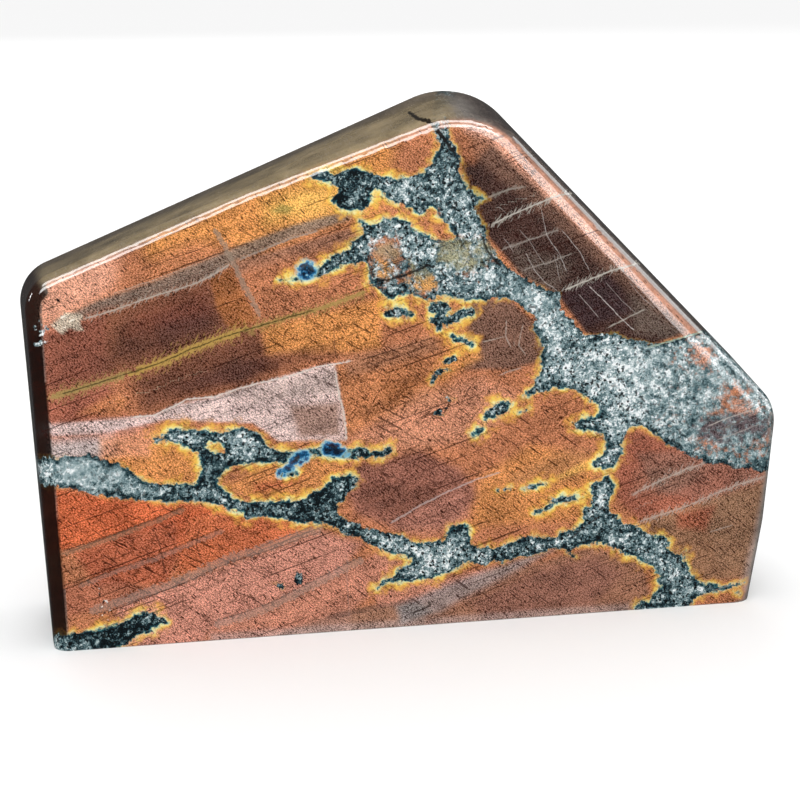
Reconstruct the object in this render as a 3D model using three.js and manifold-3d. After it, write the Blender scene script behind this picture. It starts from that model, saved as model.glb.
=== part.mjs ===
// A polished labradorite freeform: one slab of stone, sawn flat underneath so that it stands on
// edge, with a broad flat face in front, a flat back, and every other edge rolled over on a lap.
//
// Units are millimetres and +Z is up. The broad face looks along -Y, and the origin is the middle
// of the stone's box at the level that it stands on.
//
// The stone has flat sides and no hollows, so it is the tightest skin round a set of rings, one at
// each corner of the front face's rim and one at each corner of the back's. A ring's reach is how
// round that corner of the outline is, and its edge is how round the rim is there.

import * as THREE from 'three';
import { ConvexGeometry } from 'three/addons/geometries/ConvexGeometry.js';
import { mergeVertices } from 'three/addons/utils/BufferGeometryUtils.js';
import Module from 'manifold-3d';

// Driving dimensions
const FRONT_FACE_Y = -15.5;      // the plane of the broad face
const BACK_FOOT_Y = 15.5;        // the back face, where it meets the sawn foot
const BACK_LEAN_DEG = 1.2;       // the back leans in towards the peak
const BURIED = 12;               // how far below the sawn foot the sides would have run on
const FOOT_REACH = 6;
const TIGHT_EDGE = 3;            // the roll along the top left and down the left
const MIDDLE_EDGE = 3.5;         // over the peak and down the right
const SLOPE_EDGE = 4.5;          // the softer roll that the long right slope ends in
const BACK_EDGE = 5;

// Corners of the front face, clockwise from the left foot. The third ring bows the top left edge
// out a little, and the sixth the right-hand one
const FRONT_RINGS = [
  { x: -65.5, z: -BURIED, reach: FOOT_REACH, edge: TIGHT_EDGE },
  { x: -67.5, z: 66.5, reach: 7.5, edge: TIGHT_EDGE },
  { x: -27.0, z: 71.5, reach: 18, edge: TIGHT_EDGE },
  { x: 7.0, z: 83.6, reach: 18, edge: MIDDLE_EDGE },
  { x: 65.3, z: 37.2, reach: 9, edge: SLOPE_EDGE },
  { x: 55.3, z: 18.5, reach: 17.5, edge: SLOPE_EDGE },
  { x: 61.8, z: -BURIED, reach: FOOT_REACH, edge: MIDDLE_EDGE },
];

// Corners of the back face, the same way round as seen through the stone
const BACK_RINGS = [
  { x: -64.0, z: -BURIED, reach: FOOT_REACH },
  { x: -66.6, z: 64.0, reach: 8.4 },
  { x: 9.6, z: 87.2, reach: 16.2 },
  { x: 66.0, z: 40.0, reach: 9 },
  { x: 63.2, z: -BURIED, reach: FOOT_REACH },
];

// Side of the block that is cut away below the foot, more than the whole slab reaches each way
const SAWN_BLOCK = 300;

const RING_STEPS = 72;           // round a whole ring
const EDGE_STEPS = 32;           // round its section, so a quarter roll has 8 facets
const SAME_POINT = 1e-4;         // corners closer together than this are one

const wasm = await Module();
wasm.setup();

// One ring of stone, standing upright with its axis along Y
function uprightRing(x, y, z, reach, edge) {
  const ring = new THREE.TorusGeometry(reach - edge, edge, EDGE_STEPS, RING_STEPS);
  ring.rotateX(Math.PI / 2);
  return ring.translate(x, y, z);
}

function frontRing({ x, z, reach, edge }) {
  return uprightRing(x, FRONT_FACE_Y + edge, z, reach, edge);
}

// A back ring turns with the back face about the line where that face meets the foot
function backRing({ x, z, reach }) {
  const ring = uprightRing(x, -BACK_EDGE, z, reach, BACK_EDGE);
  ring.rotateX(THREE.MathUtils.degToRad(BACK_LEAN_DEG));
  return ring.translate(0, BACK_FOOT_Y, 0);
}

function pointsOf(geometry) {
  const place = geometry.getAttribute('position');
  return Array.from({ length: place.count }, (_, i) => new THREE.Vector3().fromBufferAttribute(place, i));
}

// A closed mesh as a solid that can be cut
function solidOf(geometry) {
  const bare = geometry.clone();
  bare.deleteAttribute('normal');
  bare.deleteAttribute('uv');
  const merged = mergeVertices(bare, SAME_POINT);
  return new wasm.Manifold(new wasm.Mesh({
    numProp: 3,
    vertProperties: merged.getAttribute('position').array,
    triVerts: new Uint32Array(merged.index.array),
  }));
}

// A solid as a three.js geometry
function geometryOf(solid) {
  const mesh = solid.getMesh();
  const geometry = new THREE.BufferGeometry();
  geometry.setAttribute('position', new THREE.BufferAttribute(mesh.vertProperties, 3));
  geometry.setIndex(new THREE.BufferAttribute(mesh.triVerts, 1));
  geometry.computeVertexNormals();
  return geometry;
}

// The rolled slab before it is sawn, with its sides running on below the foot
function rolledSlab() {
  const rings = [...FRONT_RINGS.map(frontRing), ...BACK_RINGS.map(backRing)];
  return solidOf(new ConvexGeometry(rings.flatMap(pointsOf)));
}

// Everything below the level that the stone stands on
function sawnOff() {
  const block = new THREE.BoxGeometry(SAWN_BLOCK, SAWN_BLOCK, SAWN_BLOCK);
  block.translate(0, 0, -SAWN_BLOCK / 2);
  return solidOf(block);
}

function polishedStone() {
  return geometryOf(rolledSlab().subtract(sawnOff()));
}

const polished = new THREE.MeshStandardMaterial({
  name: 'labradorite',
  color: 0xa8623c,
  roughness: 0.12,
  metalness: 0,
});

const part = new THREE.Group();
const stone = new THREE.Mesh(polishedStone(), polished);
stone.name = 'labradorite_stone';
part.add(stone);

export default part;
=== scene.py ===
import math

import bmesh
import bpy
import numpy as np
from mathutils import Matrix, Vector


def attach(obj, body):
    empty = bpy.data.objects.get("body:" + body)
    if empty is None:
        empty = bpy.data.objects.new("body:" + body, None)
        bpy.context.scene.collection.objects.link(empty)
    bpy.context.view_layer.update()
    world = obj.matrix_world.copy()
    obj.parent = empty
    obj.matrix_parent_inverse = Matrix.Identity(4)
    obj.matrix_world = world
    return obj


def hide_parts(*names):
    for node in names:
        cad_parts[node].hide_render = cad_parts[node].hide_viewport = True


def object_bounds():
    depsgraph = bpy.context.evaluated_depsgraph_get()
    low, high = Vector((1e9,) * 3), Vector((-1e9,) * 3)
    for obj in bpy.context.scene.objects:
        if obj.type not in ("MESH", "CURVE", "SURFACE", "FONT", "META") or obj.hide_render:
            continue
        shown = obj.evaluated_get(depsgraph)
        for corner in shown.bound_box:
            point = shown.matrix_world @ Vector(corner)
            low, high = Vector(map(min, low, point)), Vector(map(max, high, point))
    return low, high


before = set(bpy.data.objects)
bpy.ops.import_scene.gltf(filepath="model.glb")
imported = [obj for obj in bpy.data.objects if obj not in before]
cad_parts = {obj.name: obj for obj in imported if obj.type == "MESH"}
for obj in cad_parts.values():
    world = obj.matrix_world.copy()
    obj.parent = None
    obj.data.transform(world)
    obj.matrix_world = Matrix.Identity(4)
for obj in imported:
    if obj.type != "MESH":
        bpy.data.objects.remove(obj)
cad_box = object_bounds()

# The camera stands a little left of the stone and looks slightly down on it, from 43 cm away, so
# that the top left side and the left side show as narrow bands.
CAMERA_TARGET = Vector((-0.0042, -0.0155, 0.0465))
CAMERA_AZIMUTH = math.radians(-12)
CAMERA_ELEVATION = math.radians(14.1)
CAMERA_DISTANCE = 0.4302
LENS_MM = 100
SENSOR_MM = 36
towards_camera = Vector((
    math.sin(CAMERA_AZIMUTH) * math.cos(CAMERA_ELEVATION),
    -math.cos(CAMERA_AZIMUTH) * math.cos(CAMERA_ELEVATION),
    math.sin(CAMERA_ELEVATION),
))
camera = bpy.data.objects.new("camera", bpy.data.cameras.new("camera"))
camera.data.lens = LENS_MM
camera.data.sensor_width = SENSOR_MM
camera.data.clip_start = 0.01
camera.location = CAMERA_TARGET + CAMERA_DISTANCE * towards_camera
camera.rotation_euler = towards_camera.to_track_quat("Z", "Y").to_euler()
bpy.context.collection.objects.link(camera)
bpy.context.scene.camera = camera
bpy.context.scene.view_settings.view_transform = "Standard"

# The stone is one slab of labradorite, lapped and polished all over but for its sawn foot. It keeps
# the solid's shape, cut into a fine mesh so that each vein and band can be laid down on it.
MM = 0.001
HALF_WIDTH = round(cad_box[1][0] / MM)
HEIGHT = math.ceil(cad_box[1][2] / MM)
FLAT_SIDES = 12                  # the sides are flat this far in front of and behind the middle
FACE_CELL = 0.5
SIDE_CELL = 1.2
SAME_POINT = 1e-6
ON_THE_CUT = 1e-7
FLAT_WITHIN = math.radians(0.3)
SHARP_OVER = math.radians(40)    # only the edge of the sawn foot is this sharp
STRAIGHT_AHEAD = -0.999          # the front face's normal points along -Y

bm = bmesh.new()
bm.from_mesh(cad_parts["labradorite_stone"].data)
bmesh.ops.remove_doubles(bm, verts=bm.verts, dist=SAME_POINT)
bmesh.ops.dissolve_limit(bm, angle_limit=FLAT_WITHIN, verts=bm.verts, edges=bm.edges)


def cut_across(faces, axis, places):
    """Cuts faces at these places along an axis, halving the list so that each cut meets few faces."""
    if not places or not faces:
        return faces
    middle = len(places) // 2
    point, normal = [0, 0, 0], [0, 0, 0]
    point[axis] = places[middle]
    normal[axis] = 1
    edges = dict.fromkeys(edge for face in faces for edge in face.edges)
    corners = dict.fromkeys(corner for face in faces for corner in face.verts)
    cut = bmesh.ops.bisect_plane(
        bm, geom=[*faces, *edges, *corners], dist=ON_THE_CUT, plane_co=point, plane_no=normal
    )
    below, above = [], []
    for piece in cut["geom"]:
        if isinstance(piece, bmesh.types.BMFace):
            side = above if piece.calc_center_median()[axis] > places[middle] else below
            side.append(piece)
    return cut_across(below, axis, places[:middle]) + cut_across(above, axis, places[middle + 1:])


def cuts_every(cell, low, high):
    """The places of cuts this far apart, in metres, between two places in millimetres."""
    return [MM * place for place in np.arange(low + cell / 2, high, cell)]


sideways, upright, through = (0, -HALF_WIDTH, HALF_WIDTH), (2, 0, HEIGHT), (1, -FLAT_SIDES, FLAT_SIDES)
front = [face for face in bm.faces if face.normal.y < STRAIGHT_AHEAD]
others = [face for face in bm.faces if face.normal.y >= STRAIGHT_AHEAD]
for axis, low, high in (sideways, upright):
    front = cut_across(front, axis, cuts_every(FACE_CELL, low, high))
for axis, low, high in (sideways, upright, through):
    others = cut_across(others, axis, cuts_every(SIDE_CELL, low, high))
for face in bm.faces:
    face.smooth = True
for edge in bm.edges:
    edge.smooth = edge.calc_face_angle() < SHARP_OVER
mesh = bpy.data.meshes.new("labradorite")
bm.to_mesh(mesh)
bm.free()
stone = bpy.data.objects.new("labradorite", mesh)
bpy.context.collection.objects.link(stone)
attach(stone, "root")
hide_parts("labradorite_stone")

# The veins are what cracked and grew together again in the rock: a granular grey filling, dark along
# its walls. They run right through the slab, leaning to the right and down towards the back.
FRONT_Y = round(cad_box[0][1] / MM, 1)
LEAN_RIGHT = 0.30                # what the veins shift by for each millimetre of depth
LEAN_UP = -0.22

# Outlines are in millimetres on the front face, right and up. They run on past the stone's edge
MAIN_VEIN = [
    (-80, 38.9), (-71, 38.6), (-68.5, 39), (-66, 38.7), (-64.5, 39.2), (-62.5, 38.4), (-60.5, 37.2),
    (-58.5, 37), (-56.5, 35.2), (-54.5, 33.5), (-52.5, 32.6), (-48.2, 32.2), (-44.2, 31.9), (-43.2, 33.6),
    (-42.9, 36.4), (-43.6, 38.2), (-46.5, 39.8), (-48.6, 40.8), (-52, 41.3), (-50, 42), (-48.4, 43.3),
    (-46.3, 42.7), (-44, 42.8), (-41.8, 42.3), (-39.5, 41.9), (-37, 42.3), (-35, 42.8), (-33.2, 42.1),
    (-31.4, 40.8), (-30.3, 38.8), (-27.5, 37.5), (-24.5, 37.2), (-22, 37.4), (-20.3, 38), (-18.5, 38.1),
    (-16.8, 37.7), (-15.3, 36.9), (-13.8, 37), (-12.3, 37.6), (-10.8, 37.1), (-9.5, 36.5), (-7.8, 36.5),
    (-6.2, 37.6), (-5.6, 36.4), (-6.6, 35.4), (-8, 35.2), (-10.5, 35.3), (-13, 35.4), (-16, 35.6),
    (-18.5, 36), (-20.5, 36.3), (-25, 36.1), (-27.5, 35.3), (-31, 35.5), (-35, 35.5), (-37.5, 35),
    (-39.3, 33.6), (-40.1, 32.3), (-39.7, 31.2), (-38.4, 30), (-36.4, 28.4), (-34.5, 27.8), (-32, 27.6),
    (-28.5, 27.5), (-26.5, 27.6), (-24.5, 27.3), (-22.6, 27.9), (-21.5, 29.2), (-19.6, 29.3),
    (-18.4, 30.8), (-17.4, 32), (-15.8, 31.8), (-14.2, 32.1), (-12.7, 31.3), (-12.3, 30.3), (-13.3, 29.4),
    (-14.9, 28), (-16.2, 26.2), (-16.7, 24.6), (-15.8, 23.1), (-14, 22.6), (-12.4, 21.7), (-10.5, 20.8),
    (-8, 20.1), (-6, 19.6), (-4, 18.9), (-2, 17.9), (-0.8, 17.2), (1, 17.3), (3, 17.2), (4.7, 17.6),
    (5.4, 18.8), (5.8, 20.2), (7.2, 20.4), (8.6, 20.6), (9.6, 20.1), (9.9, 18), (10.4, 16.2), (11.4, 15.6),
    (13, 15.5), (15, 15.1), (17, 15.6), (19, 16.4), (21, 17), (23, 17.2), (25, 16.8), (26.6, 16.4),
    (28, 17), (29.5, 17.8), (31, 18), (32.5, 18.6), (33.3, 19.6), (33.1, 21.6), (33.8, 22.3), (35, 22.4),
    (35.1, 24.8), (34.6, 26.3), (34.9, 27.2), (36.3, 27.4), (37.3, 28.3), (38, 29.2), (38.7, 28),
    (39.8, 26.6), (39.2, 25.6), (38.7, 24), (38.3, 22), (38.8, 20.9), (40.2, 20.5), (41.2, 18.9),
    (43.5, 17.9), (46, 17), (47.2, 15.9), (48.3, 15.4), (50, 15.3), (51.5, 14.4), (51.1, 12.8),
    (52.2, 11.5), (54.9, 11.5), (54.4, 10.3), (55.6, 8.3), (56.9, 6.3), (58, 5.1), (59.4, 4.6),
    (60.8, 4.6), (62.2, 3.9), (65, 3.9), (68, 4.6), (68, 3.6), (64, 3), (61, 2.6), (59, 2.2), (57, 1.4),
    (56.2, 0), (56.5, -14), (45, -14), (44.6, 0.8), (46, 1.7), (47.6, 1.6), (48.4, 3), (50, 4.5),
    (49.3, 5.6), (49.6, 6.8), (49, 7.9), (48.2, 9), (47, 9.9), (45.5, 10.5), (44, 11.3), (42.5, 11.9),
    (41, 12.8), (39.8, 13.5), (38.4, 14.2), (36.7, 14.8), (35, 14.6), (33.4, 14.7), (31.8, 14.2),
    (30.8, 13.1), (29.5, 14), (28, 14.3), (26, 14), (24, 13.4), (22, 13), (20, 13), (18, 12.6),
    (16.4, 12.1), (14.8, 12.6), (13, 11.4), (11.8, 11.9), (10.3, 12.5), (8.5, 12.2), (7, 11.3),
    (5.5, 10.6), (4, 10.3), (1.5, 9.8), (-2, 9.5), (-4.5, 9.4), (-6.6, 9.7), (-8.8, 8.6), (-8.3, 9.6),
    (-5.6, 10.7), (-4.6, 11.8), (-3.2, 12.6), (-1.9, 13.4), (-1.8, 14.3), (-4, 14.9), (-5.5, 15.3),
    (-7.3, 16), (-9, 16.9), (-10.5, 17.9), (-12, 18.9), (-13.5, 19.5), (-15, 19.9), (-16.5, 21), (-18, 22),
    (-20, 22.6), (-22.5, 22.8), (-24.5, 23), (-26.5, 23.5), (-28, 24.2), (-30.5, 24.6), (-34, 25),
    (-34.8, 24.1), (-35.3, 25.6), (-36.7, 26.3), (-38.7, 26.9), (-41, 27.8), (-43, 28.4), (-47, 28.9),
    (-49, 28.4), (-50.5, 29), (-53, 29.3), (-55, 29.4), (-57.5, 29.9), (-60, 30.3), (-62, 30.6),
    (-64, 31.2), (-66, 32), (-68, 32.6), (-71, 33.3), (-80, 34),
]
UPPER_VEIN = [
    (38, 30.3), (36.6, 30.5), (35.3, 30.4), (34.9, 31.6), (35.8, 32.6), (37, 33.3), (37.6, 35),
    (37.6, 36.9), (36.5, 37.4), (35, 38), (33.3, 38.3), (31.9, 38.7), (30.6, 39.1), (30.7, 39.9),
    (32.5, 40.9), (34, 41), (35.5, 41.2), (36.4, 42.2), (35.7, 43.4), (34, 44.6), (32.8, 45.8),
    (31.3, 46.5), (30, 47.3), (28.5, 47.2), (27, 47.6), (25.5, 46.8), (24, 46.7), (22.5, 46.2), (21, 45.7),
    (20.3, 46.1), (21.5, 47), (22.8, 48), (22.6, 49.2), (23.5, 50), (24.2, 51.4), (24, 53.6), (24.3, 55),
    (23.8, 56.8), (22.5, 59), (22.2, 60.2), (23, 61), (22, 62.2), (20.8, 63.3), (19.5, 64.3), (18, 65.3),
    (16.5, 65.9), (15, 65.7), (13, 65.5), (11.5, 65.9), (10, 65.8), (8.8, 65.5), (7, 66.1), (5.5, 66.7),
    (4, 66.8), (2, 66.3), (0.5, 66.2), (-0.4, 66.4), (-1.5, 67.4), (-4.3, 67.5), (-5.2, 66.5),
    (-6.3, 66.4), (-7.2, 67.4), (-8.2, 68.5), (-9.2, 69.2), (-10.5, 69.8), (-9.9, 71), (-10, 72.6),
    (-10.5, 73.8), (-12, 73.9), (-13.5, 73.5), (-15, 73.6), (-16.5, 73), (-17.5, 72.3), (-19, 71.7),
    (-21, 71.2), (-23, 70.8), (-25, 70.8), (-27.6, 71), (-25, 71.5), (-23.2, 71.7), (-23.3, 72.6),
    (-22.3, 73.4), (-20.8, 72.8), (-19.5, 73.6), (-18, 74.6), (-16.5, 75.5), (-15, 76), (-14, 76.9),
    (-13.3, 78), (-12, 78.7), (-11.2, 79.6), (-12, 82), (-10.7, 81.3), (-9.3, 80.9), (-8, 81.4),
    (-7, 82.3), (-5.2, 81.9), (-3.6, 82), (-2.5, 81.2), (-1.2, 79.4), (0, 79), (1.5, 78.5), (2.8, 77.8),
    (4.2, 77.3), (6, 77.3), (6.6, 78.3), (5.3, 80.3), (4.3, 81.3), (3.3, 82.4), (2.8, 83.5), (1.6, 84.1),
    (0.8, 83.4), (0, 82.5), (-1.2, 83.3), (-2.8, 84.2), (-4.5, 84.9), (-6, 85.6), (-7.2, 86.6),
    (-8.2, 87.6), (-9.4, 87.6), (-9.9, 86.6), (-10.1, 85.2), (-10.8, 84), (-12, 83.7), (-14.5, 84),
    (-16.2, 84.6), (-17.3, 85.6), (-17, 86.6), (-16, 87.4), (-16.3, 88.6), (-17.5, 89.4), (-19.3, 89.7),
    (-21.3, 90), (-21.8, 91), (-20, 91.3), (-18.5, 91.6), (-17, 91), (-15.8, 91.1), (-14.5, 91.6),
    (-13, 91.9), (-11.5, 91.6), (-10, 91), (-8.8, 90.4), (-7.3, 90), (-6, 89.7), (-4, 89.6), (-2, 90),
    (-0.8, 90.2), (0.5, 90.6), (1.3, 91.8), (2, 92.8), (2.6, 94), (3.3, 95.4), (3.3, 96.6), (2.4, 98),
    (1.4, 104), (0, 140), (6, 140), (5.4, 104), (5.1, 98.4), (5.8, 96.2), (6.8, 94.6), (7.4, 93),
    (7.3, 91.4), (7.4, 90.2), (8.2, 88.8), (9.2, 87.5), (10.2, 86.5), (12.6, 85.3), (11.1, 84.7),
    (10.4, 83.8), (10.8, 82), (11.5, 81), (12.3, 80), (12.6, 78.4), (13.2, 77), (13.7, 76), (14.5, 75),
    (15.2, 73.6), (17, 71.8), (18.4, 70.6), (20, 70), (21.6, 69), (23, 68), (24.5, 67.4), (26, 66.8),
    (27.6, 66), (27.3, 64.5), (28, 63), (29, 61.7), (30.3, 60.4), (31.5, 59), (33, 58), (35, 57.6),
    (37, 57.8), (39, 57.6), (40.6, 56.9), (42.5, 56.3), (44.5, 56), (46, 55.4), (47.6, 54.9), (52, 56.1),
    (57.3, 57.4), (80, 62), (80, 27), (71, 27.5), (69, 28), (66.5, 28.5), (64.5, 28.8), (62.5, 29.8),
    (60.5, 30), (59, 30.1), (57.5, 30.9), (56, 31.6), (54.4, 32.4), (53, 33), (50.5, 34.6), (49, 35.8),
    (48, 36.8), (46.5, 37.8), (45, 38.6), (43.5, 38.7), (42.4, 38.5), (41.8, 37.3), (41.2, 36), (41, 34.8),
    (41.3, 33.5), (40.5, 32.4), (39.8, 31.2), (39.2, 30.2),
]
CORNER_VEIN = [
    (-80, 3.2), (-69.3, 3.4), (-67, 3.6), (-64.5, 3.9), (-62, 4.3), (-60, 4.6), (-58.4, 5.3), (-57, 6.2),
    (-55.5, 6.8), (-54, 6.9), (-52.6, 6.5), (-51.7, 5.5), (-50.8, 5.2), (-50.4, 4.2), (-52, 4),
    (-53.4, 3.4), (-53.2, 2.4), (-55, 2.5), (-56.4, 1.8), (-58, 1), (-60, 0), (-62, -14), (-80, -14),
]
ISLAND = [(-42.4, 39.6), (-41.6, 40.3), (-40, 40.2), (-38.4, 39), (-38.6, 37.8), (-41.2, 38.1)]
# Small separate grains of filling: both ends, and half of how thick each end is
GRAINS = [
    (-6.2, 63.8, -4.4, 64, 0.8, 1.0), (-4.4, 64, -2.2, 63.3, 1.0, 0.5), (2.3, 64.4, 4.4, 64.3, 1.0, 1.2),
    (4.4, 64.3, 3.2, 61.6, 1.2, 0.9), (2, 62.4, 3.6, 60.8, 0.3, 0.8), (5, 61.6, 8.8, 63.2, 0.8, 0.9),
    (8.8, 63.2, 10, 63.2, 0.9, 0.6), (6.2, 58.9, 6.6, 57.8, 0.4, 0.4), (6.8, 58.5, 9.9, 57, 0.4, 0.5),
    (4.8, 53.6, 6.6, 54.3, 0.5, 0.6), (2.2, 49.9, 3.4, 51.6, 0.5, 0.6), (3.4, 51.6, 5.3, 52.2, 0.6, 0.3),
    (4.9, 46.4, 5.9, 46, 0.3, 0.5), (2.8, 43.6, 3.7, 43.6, 0.3, 0.6), (3.7, 43.6, 5, 44.1, 0.4, 0.2),
    (13.2, 42.2, 15.6, 43.6, 0.6, 1.4), (15.6, 43.6, 17.6, 44.6, 1.4, 0.6),
    (10.2, 38.9, 12.1, 39.6, 0.5, 0.6), (19.8, 42.8, 21.4, 43.2, 0.3, 0.2),
    (20.6, 27.1, 22.4, 27.2, 0.2, 0.5), (22.4, 27.2, 25.2, 28.2, 0.4, 0.2),
    (15.6, 26.9, 18.2, 27.4, 0.2, 0.2), (23.2, 21.9, 26.4, 23.2, 0.4, 0.5),
    (26.8, 24.2, 29.5, 24.3, 0.4, 0.8), (29.5, 24.3, 33, 24.8, 0.6, 0.2),
    (-24.7, 12.4, -24.2, 11.2, 0.5, 0.9), (-28.6, 10.2, -27.6, 10.3, 0.4, 0.5),
    (-26.5, 33.2, -24.6, 33.2, 0.9, 0.3), (-52, 41.2, -49.5, 41, 0.3, 0.4),
    (-36.6, 38.6, -33, 40.4, 0.8, 1.4), (31, 12.9, 31.4, 11.9, 0.3, 0.2), (55, 11.6, 55.4, 11.2, 0.3, 0.1),
    (66.2, 2.1, 66.6, 2, 0.2, 0.2), (3.2, 99.9, 4.7, 97, 0.3, 0.3), (-8.8, 8.7, -7, 9.6, 0.3, 0.3),
    (-73.4, 60.6, -71.6, 61.2, 0.5, 0.4), (-72.4, 62.4, -71.4, 63.8, 0.4, 0.4),
    (-73.6, 64, -73, 65, 0.4, 0.2),
]


def into(low, high, value):
    """0 below low, 1 above high, and a smooth step between."""
    share = np.clip((value - low) / (high - low), 0, 1)
    return share * share * (3 - 2 * share)


def distance_to(right, up, start, end, start_width=0.0, end_width=0.0):
    """How far each point is from a stroke between two places that tapers from one width to the other."""
    along = np.array(end) - np.array(start)
    share = ((right - start[0]) * along[0] + (up - start[1]) * along[1]) / (along @ along)
    share = np.clip(share, 0, 1)
    gap = np.hypot(right - start[0] - share * along[0], up - start[1] - share * along[1])
    return gap - (start_width + share * (end_width - start_width))


def outside(right, up, outline):
    """How far each point is outside a closed outline; less than 0 inside it."""
    nearest = np.full(len(right), np.inf)
    inside = np.zeros(len(right), bool)
    for start, end in zip(outline, outline[1:] + outline[:1]):
        nearest = np.minimum(nearest, distance_to(right, up, start, end))
        crosses = (start[1] > up) != (end[1] > up)
        rise = end[1] - start[1] if end[1] != start[1] else 1
        inside ^= crosses & (right < start[0] + (up - start[1]) * (end[0] - start[0]) / rise)
    return np.where(inside, -nearest, nearest)


def blobs(right, up, spots, ground=0.0):
    """A soft map: each spot is its place, its radius and what the map is worth there."""
    total = np.full(len(right), float(ground))
    for place_right, place_up, radius, worth in spots:
        share = np.exp(-((right - place_right) ** 2 + (up - place_up) ** 2) / radius ** 2)
        total += share * (worth - total)
    return total


def per_vertex(shape, name, kind, values):
    """Keeps one value at each vertex of a mesh, for its material to read."""
    layer = shape.attributes.new(name, kind, "POINT")
    field = {"FLOAT": "value", "FLOAT_VECTOR": "vector", "FLOAT_COLOR": "color"}[kind]
    layer.data.foreach_set(field, np.ascontiguousarray(values, np.float32).ravel())


def at_vertices(shape, field):
    """The place or the normal of each vertex of a mesh."""
    values = np.empty(3 * len(shape.vertices))
    shape.vertices.foreach_get(field, values)
    return values.reshape(-1, 3)


corners = at_vertices(mesh, "co") / MM
facing = at_vertices(mesh, "normal")
depth = corners[:, 1] - FRONT_Y
right = corners[:, 0] - LEAN_RIGHT * depth
up = corners[:, 2] - LEAN_UP * depth
per_vertex(mesh, "lie", "FLOAT_VECTOR", np.stack([right, up, depth], -1))

veins = [outside(right, up, outline) for outline in (MAIN_VEIN, UPPER_VEIN, CORNER_VEIN)]
past_wall = np.minimum.reduce(veins)
past_wall = np.maximum(past_wall, -outside(right, up, ISLAND))
for *ends, first_width, second_width in GRAINS:
    past_grain = distance_to(right, up, ends[:2], ends[2:], first_width, second_width)
    past_wall = np.minimum(past_wall, past_grain)
per_vertex(mesh, "wall", "FLOAT", past_wall)

# A vein is a crack that filled with grains of feldspar, and it changes from place to place, as does
# the ground beside it. These soft maps say how, each by its spots and its worth away from them.

# How wide the rim of teal, cream and gold beside a vein is, in millimetres
halo = blobs(right, up, [
    (-66, 39.5, 5, 0.2), (-60, 38.8, 4, 0.4), (-46, 43, 6, 2.6), (-37, 43.5, 4, 2.0), (-44, 35, 3, 2.4),
    (-52, 38, 5, 1.6), (-26, 34.5, 6, 2.2), (-20, 39, 7, 1.5), (-8, 38, 4, 1.8), (-35, 30, 5, 1.8),
    (-26, 29, 5, 1.9), (-16, 33.5, 4, 2.0), (-16, 26, 3, 1.6), (-52, 28.5, 5, 1.3), (-38, 25.5, 6, 2.0),
    (-26, 23, 6, 1.9), (-12, 22, 5, 0.3), (-6, 20.5, 5, 0.3), (-4, 16, 4, 1.7), (-6, 9, 5, 2.3),
    (3, 9, 4, 2.0), (2, 18, 4, 1.5), (10, 19, 3, 2.3), (20, 17.5, 6, 2.0), (30, 18, 5, 1.9),
    (24, 12.5, 8, 0.5), (14, 11, 4, 0.6), (34, 24, 4, 2.0), (36, 30, 3, 2.0), (43, 30, 5, 1.9),
    (44, 11, 6, 1.9), (50, 17, 5, 1.7), (57, 8, 5, 1.6), (62, 4.5, 4, 1.4), (48, 4, 3, 1.7),
    (35, 38, 4, 2.2), (33, 42, 4, 1.8), (28, 48, 6, 1.9), (22, 52, 4, 1.4), (14, 42, 6, 2.3),
    (28, 27, 6, 2.2), (8, 57, 5, 2.3), (10, 64, 3, 2.0), (2, 63, 4, 1.8), (24, 58, 4, 1.2),
    (-6, 66, 5, 2.4), (-22, 72, 6, 2.4), (-12, 80, 7, 2.4), (-8, 88, 6, 2.4), (0, 81, 6, 2.2),
    (-20, 90, 5, 2.0), (0, 93, 4, 1.4), (11, 84, 3, 1.3), (8, 91, 3, 0.9), (12, 76, 4, 0.3),
    (20, 70, 6, 0.2), (30, 62, 6, 0.3), (40, 57.5, 7, 1.1), (58, 55, 8, 0.0), (56, 30, 9, 0.1),
    (68, 28, 6, 0.0), (46, 39.5, 3, 1.4), (-62, 5.5, 6, 1.9), (-52, 6, 4, 2.4), (5, 51, 4, 0.7),
    (-33, 41.5, 3, 0.8), (-24, 11, 5, 0.0), (4, 45, 4, 0.2), (-6.5, 75.5, 3.5, 0.5), (5, 75.4, 3, 0.3),
    (1, 69, 2.5, 0.5), (-71, 64, 7, 0.0), (4, 104, 5, 0.0), (-13, 26, 4, 0.2), (-6, 24, 4, 0.1),
    (1, 22, 3, 0.4), (-66, 31.5, 6, 0.2), (-57, 28.8, 4, 0.5), (-46, 26.6, 4, 0.8), (36, 57.5, 5, 0.5),
    (46, 56, 5, 0.4), (25, 62, 4, 0.1), (9.5, 83, 3, 0.5), (-62, 40, 4, 0.1),
], ground=1.2)
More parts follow.
